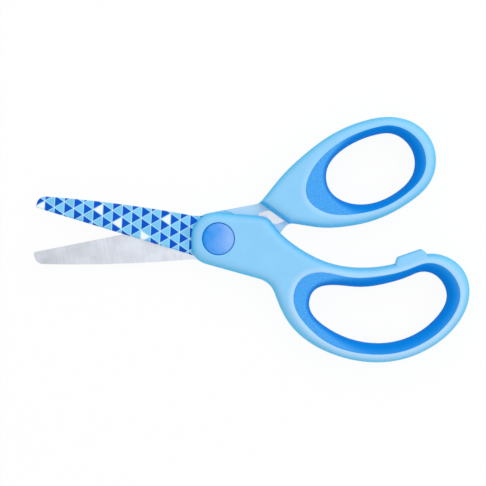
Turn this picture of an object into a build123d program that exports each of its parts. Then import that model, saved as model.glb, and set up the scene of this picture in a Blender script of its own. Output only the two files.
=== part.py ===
from build123d import *
import os
from math import cos, hypot, radians, sin

# Soft-grip office scissors, lying flat and part open. Millimetres. The origin is on the pivot
# axis, in the plane that the scissors rest on; blades point to -X, handles to +X, and +Z is up.
# The finger half (upper blade, large bow) is the fixed half, and the thumb half (lower blade,
# small bow) turns about +Z at the origin.

os.makedirs("parts", exist_ok=True)

# ---- thicknesses and heights ----
handle_thickness = 9.5
blade_thickness = 1.2
blade_gap = 0.1  # running gap between the two blades' inner faces
inlay_step = 0.1  # each neck's inner face lies this far behind its blade's inner face
edge_round = 1.8  # rounding of the handles' outer edges
nose_round_wide = 7.6  # rounding of the bosses' noses, seen from above
nose_round_tight = 6.1
crotch_round = 7.0  # where the finger bow leaves its neck
corner_round = 2.2  # the necks' corners
bump_round = 0.8  # upright edges of the closing stop
bump_step = 0.9  # the closing stop is this much lower than the bow on both faces
inner_edge_round = 1.6  # rounding of the linings' edges into the finger holes

# ---- blades, in each blade's own frame: u towards the tip, v towards the spine ----
blade_length = 58.9  # pivot to tip
edge_offset = 7.4  # pivot to the line of the cutting edge
heel_reach = 10.0  # where the spine leaves the boss
heel_width = 12.1
mid_width = 8.7  # width half way between heel and tip
tip_width = 3.8
tip_corner_round = 2.8
edge_corner_round = 0.6
bevel = 0.5  # ground bevel along the cutting edge, on the outer face
finger_blade_angle = 163.1  # direction of the cutting edge, from +X
thumb_blade_angle = 191.3

# ---- tangs, which the handles are moulded round ----
tang_width = 5.7
tang_reach = 27.0  # pivot to the tang's end
key_hole_reach = 23.0
key_hole_diameter = 2.6
finger_tang_angle = -20.0
thumb_tang_angle = 22.6

# ---- pivot ----
rivet_diameter = 4.0
running_clearance = 0.05  # radial, shank in the turning blade
rivet_head_diameter = 7.4
rivet_head_height = 1.0
rivet_tail_diameter = 6.4
rivet_tail_height = 0.8
spring_washer_diameter = 7.8
spring_washer_thickness = 0.25
spring_washer_height = 0.45  # free height of the dished washer
flat_washer_diameter = 7.6
flat_washer_thickness = 0.4
washer_gap = 0.05  # running gap between the flat washer and the turning blade
bore_clearance = 0.4  # radial, washers and rivet head in the bosses' bores
cap_ledge = 0.9  # radial width of the ledge that a cap sits on
cap_clearance = 0.1  # radial, cap in its pocket
cap_crown = 0.35  # height of the front cap's dome
front_cap_gap = 0.15  # between the rivet's head and the cap over it
back_cap_gap = 0.35  # between the rivet's tail and the cap under it

# ---- soft linings ----
rib_height = 2.4
rib_depth = 0.7  # how far the handle's keying rib stands into the lining

# ---- heights that follow ----
mid_height = handle_thickness / 2
finger_blade_base = mid_height + blade_gap / 2
finger_blade_top = finger_blade_base + blade_thickness
thumb_blade_top = mid_height - blade_gap / 2
thumb_blade_base = thumb_blade_top - blade_thickness
finger_neck_base = finger_blade_base + inlay_step
thumb_neck_top = thumb_blade_top - inlay_step
rivet_head_base = finger_blade_top + spring_washer_height
flat_washer_top = thumb_blade_base - washer_gap
flat_washer_base = flat_washer_top - flat_washer_thickness
rivet_tail_base = flat_washer_base - rivet_tail_height
widest_washer = max(rivet_head_diameter, spring_washer_diameter, flat_washer_diameter)
ledge_bore = widest_washer + 2 * bore_clearance
pocket_diameter = ledge_bore + 2 * cap_ledge
cap_diameter = pocket_diameter - 2 * cap_clearance
front_cap_base = rivet_head_base + rivet_head_height + front_cap_gap
back_cap_top = rivet_tail_base - back_cap_gap

# ---- handle outlines, as seen from above ----
FINGER_NOSE = [(-8.8, -6.75), (-8.8, 9.05)]
FINGER_CORNER = (15.9, 7.1)
STOP_BUMP = [(56.2, -8.6), (57.2, -5.8), (64.8, -3.2), (66.8, -4.9), (65.8, -6.4)]
FINGER_RIM = [
    (19.7, 1.95), (25.1, -2.5), (31.8, -6.3), (39.1, -8.6), (46.7, -9.2), (54.3, -8.4),
    (61.2, -6.4), (67.6, -4.7), (72.7, -5.6), (77.6, -9.0), (80.2, -15.1), (79.6, -21.2), (75.6, -28.3),
    (68.2, -34.6), (58.7, -38.6), (48.6, -39.5), (38.5, -37.6), (29.3, -33.3), (22.7, -27.2),
    (19.1, -20.5), (16.9, -13.9),
]
FINGER_LINING = [
    (67.8, -7.7), (74.1, -10.9), (77.0, -17.5), (74.1, -25.5), (66.8, -32.3), (57.5, -36.2),
    (47.0, -36.7), (36.3, -33.9), (27.8, -27.3), (23.9, -19.5), (26.6, -12.6), (32.5, -10.7),
    (41.2, -12.2), (51.5, -11.9), (61.4, -9.4),
]
FINGER_HOLE = [
    (66.0, -10.5), (71.2, -13.3), (73.0, -18.5), (70.0, -24.7), (63.0, -30.4), (54.0, -33.2),
    (43.6, -32.4), (34.0, -27.9), (29.0, -21.5), (30.6, -16.5), (36.2, -14.8), (45.0, -15.4),
    (54.0, -14.2), (61.4, -11.8),
]
FINGER_STEP = [(11.9, -13.9), (25.0, -0.3)]  # line where the finger bow's full thickness begins

THUMB_NOSE = [(-8.5, -8.4), (-8.5, 7.25)]
THUMB_SHOULDER = (13.0, 11.3)
THUMB_RIM_HEADINGS = [(1, 1.15), (-1, 0.15)]
THUMB_RIM = [
    (20.3, 20.2), (27.7, 27.2), (35.9, 33.2), (45.3, 37.4), (55.3, 39.0),
    (63.2, 36.7), (68.0, 31.6), (69.6, 25.5), (67.9, 18.4), (61.4, 11.9), (52.5, 6.9),
    (43.9, 4.4), (35.1, 3.5), (22.4, 5.1),
]
THUMB_NECK = [(20.2, 2.4), (14.6, -8.45)]
THUMB_LINING = [
    (52.1, 35.9), (59.5, 34.8), (65.1, 29.2), (65.6, 21.3), (60.2, 14.6), (52.5, 10.0),
    (43.0, 7.8), (33.8, 8.5), (28.2, 13.4), (29.2, 20.7), (34.0, 27.0), (42.5, 32.8),
]
THUMB_HOLE = [
    (52.6, 33.7), (58.6, 32.2), (62.5, 26.5), (62.0, 20.4), (57.2, 15.1), (50.0, 11.6),
    (42.0, 11.4), (35.8, 15.2), (34.6, 21.8), (39.6, 28.4), (46.0, 31.9),
]
THUMB_STEP = [(11.7, 12.6), (24.0, 3.9)]  # line where the thumb bow's full thickness begins

step_cut_size = 60.0  # larger than the neck, so that the step cut clears all of it


def smooth_loop(points):
    """A face inside one smooth closed curve."""
    with BuildSketch() as face:
        with BuildLine():
            Spline(*points, periodic=True)
        make_face()
    return face.sketch


def inset(points, depth):
    """The points of an anticlockwise or clockwise loop, each moved inwards by depth."""
    count = len(points)
    area = sum(
        points[k - 1][0] * points[k][1] - points[k][0] * points[k - 1][1] for k in range(count)
    )
    side = 1 if area > 0 else -1
    moved = []
    for k in range(count):
        x, y = points[k]
        along_x = points[(k + 1) % count][0] - points[k - 1][0]
        along_y = points[(k + 1) % count][1] - points[k - 1][1]
        scale = side * depth / hypot(along_x, along_y)
        moved.append((x - along_y * scale, y + along_x * scale))
    return moved


def polar(reach, angle):
    """A point at a distance and direction from the pivot."""
    return (reach * cos(radians(angle)), reach * sin(radians(angle)))


def blade_face(angle, spine_side):
    """A blade forward of the pivot. spine_side is 1 where the spine lies clockwise of the tip."""
    u = Vector(cos(radians(angle)), sin(radians(angle)))
    v = Vector(sin(radians(angle)), -cos(radians(angle))) * spine_side
    mid_reach = (heel_reach + blade_length) / 2

    def at(along, up):
        return u * along + v * (up - edge_offset)

    with BuildSketch() as face:
        with BuildLine():
            Line(at(0, 0), at(blade_length, 0))
            Line(at(blade_length, 0), at(blade_length, tip_width))
            ThreePointArc(
                at(blade_length, tip_width), at(mid_reach, mid_width), at(heel_reach, heel_width)
            )
            Line(at(heel_reach, heel_width), at(0, 2 * edge_offset))
            Line(at(0, 2 * edge_offset), at(0, 0))
        make_face()
        tip_edge, tip_spine = at(blade_length, 0), at(blade_length, tip_width)
        fillet(face.vertices().sort_by_distance(tip_edge)[0], edge_corner_round)
        fillet(face.vertices().sort_by_distance(tip_spine)[0], tip_corner_round)
    return face.sketch


def root_face(tang_angle):
    """The round ground of a blade at the pivot, with its tang."""
    tang_centre = tang_reach - tang_width / 2
    with BuildSketch() as face:
        Circle(edge_offset)
        SlotCenterPoint(
            polar(tang_centre / 2, tang_angle), polar(tang_centre, tang_angle), tang_width
        )
        with Locations(polar(key_hole_reach, tang_angle)):
            Circle(key_hole_diameter / 2, mode=Mode.SUBTRACT)
    return face.sketch


def half_plane(step, side):
    """The region on the pivot's side of a bow's step line, beyond both of its ends."""
    start, end = Vector(*step[0]), Vector(*step[1])
    along = (end - start).normalized()
    across = Vector(-along.Y, along.X) * side
    low, high = start - along * step_cut_size, end + along * step_cut_size
    with BuildSketch() as face:
        Polygon(low, high, high + across * step_cut_size, low + across * step_cut_size, align=None)
    return face.sketch


# ---- profiles ----
with BuildSketch() as finger_profile:
    with BuildLine():
        Polyline(FINGER_RIM[-1], *FINGER_NOSE, FINGER_CORNER)
        Spline(FINGER_CORNER, *FINGER_RIM)
    make_face()
    for corner, radius in (
        (FINGER_RIM[-1], crotch_round),
        (FINGER_NOSE[0], nose_round_tight),
        (FINGER_NOSE[1], nose_round_wide),
        (FINGER_CORNER, corner_round),
    ):
        fillet(finger_profile.vertices().sort_by_distance(corner)[0], radius)

with BuildSketch() as thumb_profile:
    with BuildLine():
        Polyline(THUMB_NECK[-1], *THUMB_NOSE, THUMB_SHOULDER)
        Spline(THUMB_SHOULDER, *THUMB_RIM, tangents=THUMB_RIM_HEADINGS)
        Spline(THUMB_RIM[-1], *THUMB_NECK)
    make_face()
    for corner, radius in (
        (THUMB_NECK[-1], corner_round),
        (THUMB_NOSE[0], nose_round_wide),
        (THUMB_NOSE[1], nose_round_tight),
        (THUMB_SHOULDER, corner_round),
        (THUMB_RIM[-1], corner_round),
    ):
        fillet(thumb_profile.vertices().sort_by_distance(corner)[0], radius)

finger_lining_profile = smooth_loop(FINGER_LINING)
thumb_lining_profile = smooth_loop(THUMB_LINING)
finger_rib_profile = smooth_loop(inset(FINGER_LINING, rib_depth))
thumb_rib_profile = smooth_loop(inset(THUMB_LINING, rib_depth))
finger_hole_profile = smooth_loop(FINGER_HOLE)
thumb_hole_profile = smooth_loop(THUMB_HOLE)

# ---- blades ----
with BuildPart() as finger_blade:
    with BuildSketch(Plane.XY.offset(finger_blade_base)):
        add(blade_face(finger_blade_angle, 1))
    extrude(amount=blade_thickness)
    outer_edges = finger_blade.faces().sort_by(Axis.Z)[-1].edges().filter_by(GeomType.LINE)
    chamfer(outer_edges.sort_by(SortBy.LENGTH)[-1], bevel)
    with BuildSketch(Plane.XY.offset(finger_blade_base)):
        add(root_face(finger_tang_angle))
    extrude(amount=blade_thickness)
    with BuildSketch(Plane.XY.offset(finger_blade_base)):
        Circle(rivet_diameter / 2)
    extrude(amount=blade_thickness, mode=Mode.SUBTRACT)
finger_blade.part.label = "finger_blade"

with BuildPart() as thumb_blade:
    with BuildSketch(Plane.XY.offset(thumb_blade_base)):
        add(blade_face(thumb_blade_angle, -1))
    extrude(amount=blade_thickness)
    outer_edges = thumb_blade.faces().sort_by(Axis.Z)[0].edges().filter_by(GeomType.LINE)
    chamfer(outer_edges.sort_by(SortBy.LENGTH)[-1], bevel)
    with BuildSketch(Plane.XY.offset(thumb_blade_base)):
        add(root_face(thumb_tang_angle))
    extrude(amount=blade_thickness)
    with BuildSketch(Plane.XY.offset(thumb_blade_base)):
        Circle(rivet_diameter / 2 + running_clearance)
    extrude(amount=blade_thickness, mode=Mode.SUBTRACT)
thumb_blade.part.label = "thumb_blade"

# ---- handles: one moulding each, full height at the bow and half height at the neck ----
with BuildPart() as finger_handle:
    with BuildSketch():
        add(finger_profile.sketch)
    extrude(amount=handle_thickness)
    rims = finger_handle.faces().filter_by(Axis.Z).edges()
    fillet(rims, edge_round)
    with BuildSketch(Plane.XY.offset(bump_step)) as bump:
        Polygon(*STOP_BUMP, align=None)
        for corner in STOP_BUMP[1:4]:
            fillet(bump.vertices().sort_by_distance(corner)[0], bump_round)
    extrude(amount=handle_thickness - 2 * bump_step)
    with BuildSketch():
        add(half_plane(FINGER_STEP, 1))
    extrude(amount=finger_neck_base, mode=Mode.SUBTRACT)
    with BuildSketch():
        add(finger_lining_profile)
    extrude(amount=handle_thickness, mode=Mode.SUBTRACT)
    with BuildSketch(Plane.XY.offset(mid_height - rib_height / 2)):
        add(finger_lining_profile)
        add(finger_rib_profile, mode=Mode.SUBTRACT)
    extrude(amount=rib_height)
    with BuildSketch(Plane.XY.offset(finger_neck_base)):
        Circle(ledge_bore / 2)
    extrude(amount=handle_thickness - finger_neck_base, mode=Mode.SUBTRACT)
    with BuildSketch(Plane.XY.offset(front_cap_base)):
        Circle(pocket_diameter / 2)
    extrude(amount=handle_thickness - front_cap_base, mode=Mode.SUBTRACT)
    add(finger_blade.part, mode=Mode.SUBTRACT)
finger_handle.part.label = "finger_handle"

with BuildPart() as thumb_handle:
    with BuildSketch():
        add(thumb_profile.sketch)
    extrude(amount=handle_thickness)
    rims = thumb_handle.faces().filter_by(Axis.Z).edges()
    fillet(rims, edge_round)
    with BuildSketch(Plane.XY.offset(thumb_neck_top)):
        add(half_plane(THUMB_STEP, -1))
    extrude(amount=handle_thickness - thumb_neck_top, mode=Mode.SUBTRACT)
    with BuildSketch():
        add(thumb_lining_profile)
    extrude(amount=handle_thickness, mode=Mode.SUBTRACT)
    with BuildSketch(Plane.XY.offset(mid_height - rib_height / 2)):
        add(thumb_lining_profile)
        add(thumb_rib_profile, mode=Mode.SUBTRACT)
    extrude(amount=rib_height)
    with BuildSketch():
        Circle(ledge_bore / 2)
    extrude(amount=thumb_neck_top, mode=Mode.SUBTRACT)
    with BuildSketch():
        Circle(pocket_diameter / 2)
    extrude(amount=back_cap_top, mode=Mode.SUBTRACT)
    add(thumb_blade.part, mode=Mode.SUBTRACT)
thumb_handle.part.label = "thumb_handle"

# ---- soft linings, moulded into the bows round the keying ribs, and round a tang that reaches in ----
with BuildPart() as finger_grip:
    with BuildSketch():
        add(finger_lining_profile)
        add(finger_hole_profile, mode=Mode.SUBTRACT)
    extrude(amount=handle_thickness)
    inner_rims = finger_grip.faces().filter_by(Axis.Z).wires().sort_by(SortBy.LENGTH)[:2].edges()
    fillet(inner_rims, inner_edge_round)
    with BuildSketch(Plane.XY.offset(mid_height - rib_height / 2)):
        add(finger_lining_profile)
        add(finger_rib_profile, mode=Mode.SUBTRACT)
    extrude(amount=rib_height, mode=Mode.SUBTRACT)
    add(finger_blade.part, mode=Mode.SUBTRACT)
finger_grip.part.label = "finger_grip"

with BuildPart() as thumb_grip:
    with BuildSketch():
        add(thumb_lining_profile)
        add(thumb_hole_profile, mode=Mode.SUBTRACT)
    extrude(amount=handle_thickness)
    inner_rims = thumb_grip.faces().filter_by(Axis.Z).wires().sort_by(SortBy.LENGTH)[:2].edges()
    fillet(inner_rims, inner_edge_round)
    with BuildSketch(Plane.XY.offset(mid_height - rib_height / 2)):
        add(thumb_lining_profile)
        add(thumb_rib_profile, mode=Mode.SUBTRACT)
    extrude(amount=rib_height, mode=Mode.SUBTRACT)
    add(thumb_blade.part, mode=Mode.SUBTRACT)
thumb_grip.part.label = "thumb_grip"

# ---- pivot: the rivet and its washers belong to the finger half ----
with BuildPart() as pivot_rivet:
    with BuildSketch(Plane.XY.offset(rivet_tail_base)):
        Circle(rivet_tail_diameter / 2)
    extrude(amount=rivet_tail_height)
    with BuildSketch(Plane.XY.offset(flat_washer_base)):
        Circle(rivet_diameter / 2)
    extrude(amount=rivet_head_base - flat_washer_base)
    with BuildSketch(Plane.XY.offset(rivet_head_base)):
        Circle(rivet_head_diameter / 2)
    extrude(amount=rivet_head_height)
    ends = pivot_rivet.faces().filter_by(Axis.Z).sort_by(Axis.Z)
    fillet(ends[-1].edges() + ends[0].edges(), rivet_tail_height / 2)
pivot_rivet.part.label = "pivot_rivet"

with BuildPart() as spring_washer:
    with BuildSketch(Plane.XZ):
        with BuildLine():
            dish = spring_washer_height - spring_washer_thickness
            inner, outer = rivet_diameter / 2, spring_washer_diameter / 2
            Polyline(
                (inner, finger_blade_top + dish),
                (outer, finger_blade_top),
                (outer, finger_blade_top + spring_washer_thickness),
                (inner, finger_blade_top + spring_washer_height),
                close=True,
            )
        make_face()
    revolve(axis=Axis.Z)
spring_washer.part.label = "spring_washer"

with BuildPart() as flat_washer:
    with BuildSketch(Plane.XY.offset(flat_washer_base)):
        Circle(flat_washer_diameter / 2)
        Circle(rivet_diameter / 2, mode=Mode.SUBTRACT)
    extrude(amount=flat_washer_thickness)
flat_washer.part.label = "flat_washer"

# ---- caps over the two ends of the rivet ----
with BuildPart() as front_cap:
    with BuildSketch(Plane.XY.offset(front_cap_base)):
        Circle(cap_diameter / 2)
    extrude(amount=handle_thickness - front_cap_base)
    dome_radius = ((cap_diameter / 2) ** 2 + cap_crown**2) / (2 * cap_crown)
    with Locations((0, 0, handle_thickness - dome_radius)):
        Sphere(dome_radius, mode=Mode.INTERSECT)
front_cap.part.label = "front_cap"

with BuildPart() as back_cap:
    with BuildSketch():
        Circle(cap_diameter / 2)
    extrude(amount=back_cap_top)
    chamfer(back_cap.faces().sort_by(Axis.Z)[0].edges(), cap_crown)
back_cap.part.label = "back_cap"

for piece in (
    finger_blade, thumb_blade, finger_handle, thumb_handle, finger_grip, thumb_grip,
    pivot_rivet, spring_washer, flat_washer, front_cap, back_cap,
):
    export_step(piece.part, f"parts/{piece.part.label}.step")
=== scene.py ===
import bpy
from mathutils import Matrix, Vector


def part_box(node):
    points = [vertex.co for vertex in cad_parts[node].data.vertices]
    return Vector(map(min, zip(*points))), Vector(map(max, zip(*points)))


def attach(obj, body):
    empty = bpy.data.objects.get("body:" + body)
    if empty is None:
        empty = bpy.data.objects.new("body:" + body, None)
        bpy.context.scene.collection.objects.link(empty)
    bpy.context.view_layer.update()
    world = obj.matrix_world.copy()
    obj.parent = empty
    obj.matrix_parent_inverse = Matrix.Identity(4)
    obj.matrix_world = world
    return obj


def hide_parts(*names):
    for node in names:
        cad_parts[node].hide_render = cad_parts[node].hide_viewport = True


bl_info = {
    "name": "Soft-grip scissors",
    "version": (1, 0, 0),
    "blender": (4, 5, 0),
    "location": "View3D > Sidebar > Scissors",
    "description": "Moulded handles, soft linings, caps and printed blades on a scissors frame",
    "category": "Object",
}

import math

import bmesh
import bpy
import numpy as np
from bpy.props import FloatProperty, PointerProperty, StringProperty
from mathutils import Vector
from mathutils.geometry import delaunay_2d_cdt

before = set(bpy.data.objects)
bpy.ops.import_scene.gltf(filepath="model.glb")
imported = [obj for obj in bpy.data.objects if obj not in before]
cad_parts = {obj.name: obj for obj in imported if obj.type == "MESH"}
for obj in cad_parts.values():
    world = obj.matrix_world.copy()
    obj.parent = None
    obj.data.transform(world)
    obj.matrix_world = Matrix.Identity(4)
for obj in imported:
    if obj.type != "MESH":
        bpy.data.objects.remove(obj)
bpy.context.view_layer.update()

# Outlines are worked out in millimetres, as the frame's sizes are, and made metres in the meshes.
MM = 0.001
SEAM_GAP = "seam_gap"  # a handle's attribute: distance from its lining, in metres
ROLL_SHARE = "roll_share"  # a lining's attribute: 0 at the hole, 1 where its roll ends
FACE_TOLERANCE = 0.002  # a vertex this near a height lies on the flat face there
NEAREST_ROW = 0.03  # rows of points nearer to an outline than this are left out
DOUBLED = 1e-7  # points nearer than this, in metres, are one point
handle_low, handle_high = (corner.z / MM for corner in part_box("finger_handle"))
mid_height = (handle_low + handle_high) / 2
half_height = (handle_high - handle_low) / 2
finger_blade_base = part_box("finger_blade")[0].z / MM
thumb_blade_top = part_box("thumb_blade")[1].z / MM

# Each neck is half as thick as its bow. This is where the foot of the bow's end wall runs.
FINGER_STEP = ((11.9, -13.9), (25.0, -0.3))
THUMB_STEP = ((11.7, 12.6), (24.0, 3.9))
INLAY_STEP = 0.1  # the blades' inner faces stand this far out of the bosses
TANG_COVER = 0.06  # the thumb neck's plastic over its tang
BOSS_RADIUS = 9.3  # round the pivot the thumb boss is lower, and shows its blade
NECK_REACH = 60  # longer than any neck is long or wide
WALL_REACH = 4.5  # how far back from its foot an end wall has passed the bow's face
STOP_STEP = 0.9  # the closing stop's flat faces in the frame lie this far inside the bow's
STOP_ROOT = 2.5  # how far the stop runs on under the bow's crest
LINING_WIDTH = 3.4  # of the linings where they are narrow
ROLL_CHANGE = 0.6  # share of a hole's length over which its lining's roll widens
CAP_CROWN = 0.45  # how far the front cap's middle stands above its rim
CAP_SQUARENESS = 14.0  # exponent of a cap's section at its rim
FLOOR_REACH = 3.0  # half the floor's side, in metres
FLOOR_WHITENESS = 0.94  # share of plain white in the floor that the camera sees

# The blade, its outer side (1 is up), the angle of its axis in degrees, where its print starts and
# the print's pale triangles as (slanted row, slanted row, 1 if it points left).
PRINTS = (
    (
        "finger_blade", 1, 163.1, (-55.448, 12.165),
        ((-1, -1, 1), (2, -4, 1), (2, -6, 1), (5, -8, 1), (2, -8, 0)),
    ),
    ("thumb_blade", -1, 191.3, (-55.8, -6.2), ()),
)

# A lamp's name, its place in metres, its share of the lamps' light and its width in metres.
LAMPS = (
    ("key_softbox", (0.62, 0.15, 0.55), 0.55, 0.35),
    ("rear_softbox", (0.1, 0.6, 0.55), 0.45, 0.4),
)


# ---- sizes and colours that a user would change ----


class ScissorsHandleSizes(bpy.types.PropertyGroup):
    """Rounding of the two handle mouldings and their linings."""

    rim_width: FloatProperty(
        name="Rim width", description="How far in from its outline a handle goes on rising",
        default=3.5 * MM, unit="LENGTH",
    )
    rim_fullness: FloatProperty(
        name="Rim fullness", default=2.3,
        description="Exponent of the rim's section: 2 is an ellipse, and more is squarer",
    )
    seam_fall: FloatProperty(
        name="Seam fall", description="How far a handle's face falls towards its lining",
        default=0.24 * MM, unit="LENGTH",
    )
    seam_reach: FloatProperty(
        name="Seam reach", description="How far outside the lining that fall begins",
        default=1.5 * MM, unit="LENGTH",
    )
    seam_round: FloatProperty(
        name="Seam rounding",
        description="Rounding of both edges along the seam between handle and lining",
        default=0.1 * MM, unit="LENGTH",
    )
    roll_near: FloatProperty(
        name="Roll near the pivot",
        description="Width over which a lining rolls into the hole, at the pivot's end",
        default=1.7 * MM, unit="LENGTH",
    )
    roll_far: FloatProperty(
        name="Roll at the far end", description="The same width at the far end of the bow",
        default=6.8 * MM, unit="LENGTH",
    )
    roll_fullness: FloatProperty(
        name="Roll fullness", default=2.0,
        description="Exponent of the lining's section at the hole",
    )
    inset_edge: FloatProperty(
        name="CAD edge rounding",
        description="How far the frame's flat faces lie inside the handles' outlines",
        default=1.8 * MM, unit="LENGTH",
    )
    hole_edge: FloatProperty(
        name="CAD hole rounding",
        description="How far the frame's flat faces lie outside the finger holes",
        default=1.6 * MM, unit="LENGTH",
    )
    mesh_step: FloatProperty(
        name="Mesh step", description="Distance between the points along an outline",
        default=0.45 * MM, unit="LENGTH",
    )


class ScissorsPrintSizes(bpy.types.PropertyGroup):
    """The triangle print on the blades' outer faces."""

    column_width: FloatProperty(
        name="Column width", description="Width of a column of triangles",
        default=3.106 * MM, unit="LENGTH",
    )
    row_height: FloatProperty(
        name="Row height", description="Length of a triangle's upright side",
        default=3.9025 * MM, unit="LENGTH",
    )
    line_width: FloatProperty(
        name="Line width", description="Width of the pale lines between the triangles",
        default=0.27 * MM, unit="LENGTH",
    )
    tilt: FloatProperty(
        name="Tilt", description="How far the rows are turned from the frame's X axis",
        default=math.radians(-2.95), subtype="ANGLE",
    )


class ScissorsColours(bpy.types.PropertyGroup):
    """Colours as sRGB hex values."""

    handle: StringProperty(name="Handle", description="Handle moulding", default="#8ed0fb")
    # Painted shade: the colour for the handles' steep walls.
    handle_painted_shade: StringProperty(
        name="Handle, deep", description="Handle moulding on its steep walls", default="#06bcf0"
    )
    # Painted highlight: the colour for the crest round the linings.
    handle_crest_highlight: StringProperty(
        name="Handle, crest", description="Handle moulding round the linings", default="#b6deff"
    )
    # Painted light: the colour for the thumb neck's flat face over its tang.
    handle_skin_painted_light: StringProperty(
        name="Handle, skin", description="Handle moulding, painted light over the tang", default="#bedff6"
    )
    lining: StringProperty(name="Lining", description="Soft lining, flat part", default="#4ca8f7")
    # Painted shade: the colour for the linings' roll into the hole.
    lining_roll_painted_shade: StringProperty(
        name="Lining, deep", description="Soft lining, rolled into the hole", default="#0086e4"
    )
    # Painted highlight: the caps' colour on their +X side.
    cap: StringProperty(name="Cap", description="Pivot caps", default="#94c0ff")
    # Painted shade: the caps' colour on their -X side.
    cap_painted_shade: StringProperty(
        name="Cap, deep", description="Pivot caps, painted shade on the -X side", default="#1c94f2"
    )
    steel: StringProperty(name="Steel", description="Ground blade steel", default="#d2d7e0")
    ink_dark: StringProperty(name="Dark ink", description="Dark triangles", default="#0858d0")
    ink_light: StringProperty(name="Light ink", description="Light triangles", default="#80cff8")
    ink_line: StringProperty(name="Line ink", description="Lines", default="#aadff9")
    ink_node: StringProperty(name="Node ink", description="Where lines meet", default="#e4f6ff")
    ink_pale: StringProperty(
        name="Pale ink", description="A few pale triangles", default="#f2fbff"
    )


class ScissorsStageSettings(bpy.types.PropertyGroup):
    """Camera, floor and lamps."""

    view_width: FloatProperty(
        name="View width", description="Width of the picture where the scissors lie",
        default=155.5 * MM, unit="LENGTH",
    )
    centre_x: FloatProperty(
        name="Centre X", description="Middle of the picture", default=7.83 * MM, unit="LENGTH"
    )
    centre_y: FloatProperty(
        name="Centre Y", description="Middle of the picture", default=-1.34 * MM, unit="LENGTH"
    )
    lens: FloatProperty(name="Lens", description="Focal length in millimetres", default=200.0)
    fill: FloatProperty(
        name="Fill", description="Strength of the even light from all round", default=0.8
    )
    lamp_level: FloatProperty(
        name="Lamp level", description="What the lamps add on a level white surface", default=0.2
    )


# ---- outlines, in millimetres ----


def flat_face_loops(node, height):
    """The closed edges, longest first, of a CAD node's flat face at a height."""
    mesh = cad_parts[node].data
    mesh.calc_loop_triangles()
    points = np.array([vertex.co for vertex in mesh.vertices]) / MM
    corners = np.array([triangle.vertices for triangle in mesh.loop_triangles])
    level = np.abs(points[corners][:, :, 2] - height).max(axis=1) < FACE_TOLERANCE
    keys = [tuple(np.round(point[:2], 3)) for point in points]
    follows = {}
    sides = set()
    for a, b, c in corners[level]:
        for start, end in ((a, b), (b, c), (c, a)):
            sides.add((keys[start], keys[end]))
    for start, end in sides:
        if (end, start) not in sides:
            follows[start] = end
    loops = []
    while follows:
        start, here = follows.popitem()
        loop = [start]
        while here != start:
            loop.append(here)
            here = follows.pop(here)
        loops.append(np.array(loop))
    return sorted(loops, key=perimeter, reverse=True)


def perimeter(loop):
    """The length round a closed loop."""
    return np.linalg.norm(loop - np.roll(loop, -1, axis=0), axis=1).sum()


def spread(loop, step):
    """The loop with points an even step apart, anticlockwise."""
    x, y = loop.T
    if (x * np.roll(y, -1) - y * np.roll(x, -1)).sum() < 0:
        loop = loop[::-1]
    closed = np.vstack([loop, loop[:1]])
    along = np.concatenate([[0], np.cumsum(np.linalg.norm(np.diff(closed, axis=0), axis=1))])
    places = np.linspace(0, along[-1], round(along[-1] / step), endpoint=False)
    return np.column_stack([np.interp(places, along, closed[:, k]) for k in range(2)])


def soften(loop, reach):
    """The loop with the small flats of a mesh smoothed away over a reach."""
    step = perimeter(loop) / len(loop)
    waves = np.fft.fftfreq(len(loop), d=step)
    keep = np.exp(-2 * (math.pi * reach * waves) ** 2)
    return np.column_stack(
        [np.fft.ifft(np.fft.fft(loop[:, k]) * keep).real for k in range(2)]
    )


def grow(loop, distance):
    """The anticlockwise loop moved outwards by a distance."""
    along = np.roll(loop, -1, axis=0) - np.roll(loop, 1, axis=0)
    along /= np.linalg.norm(along, axis=1)[:, None]
    return loop + distance * np.column_stack([along[:, 1], -along[:, 0]])


def distance_to(loop, points):
    """Each point's distance from a closed loop."""
    start = loop[None]
    run = np.roll(loop, -1, axis=0)[None] - start
    nearest = []
    for chunk in np.array_split(points, max(1, len(points) // 500)):
        offset = chunk[:, None] - start
        share = np.clip((offset * run).sum(2) / (run * run).sum(2), 0, 1)
        nearest.append(np.linalg.norm(offset - share[..., None] * run, axis=2).min(axis=1))
    return np.concatenate(nearest)


def inside(loop, points):
    """Whether each point lies inside a closed loop."""
    x0, y0 = loop.T
    x1, y1 = np.roll(loop, -1, axis=0).T
    found = []
    for chunk in np.array_split(points, max(1, len(points) // 500)):
        px, py = chunk[:, :1], chunk[:, 1:]
        spans = (y0 > py) != (y1 > py)
        rise_share = (py - y0) / np.where(y1 == y0, 1, y1 - y0)
        crossed = spans & (px < x0 + rise_share * (x1 - x0))
        found.append(crossed.sum(axis=1) % 2 == 1)
    return np.concatenate(found)


def swell(depth, width, fullness):
    """How far a rounded section has risen, from 0 at its edge to 1 at its width."""
    share = np.clip(1 - depth / width, 0, 1)
    return (1 - share**fullness) ** (1 / fullness)


def swell_depths(width, fullness, count):
    """Depths at which rows of points follow that section, closest where it is steepest."""
    turns = np.linspace(0, math.pi / 2, count + 1)[1:]
    depths = width * (1 - np.cos(turns) ** (2 / fullness))
    return depths[depths > NEAREST_ROW]


def seam_drop(depth, radius):
    """How far a surface falls at a rounded seam, at a depth from the seam."""
    share = np.clip(1 - depth / radius, 0, 1)
    return radius * (1 - np.sqrt(1 - share**2))


# ---- meshes ----


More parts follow.
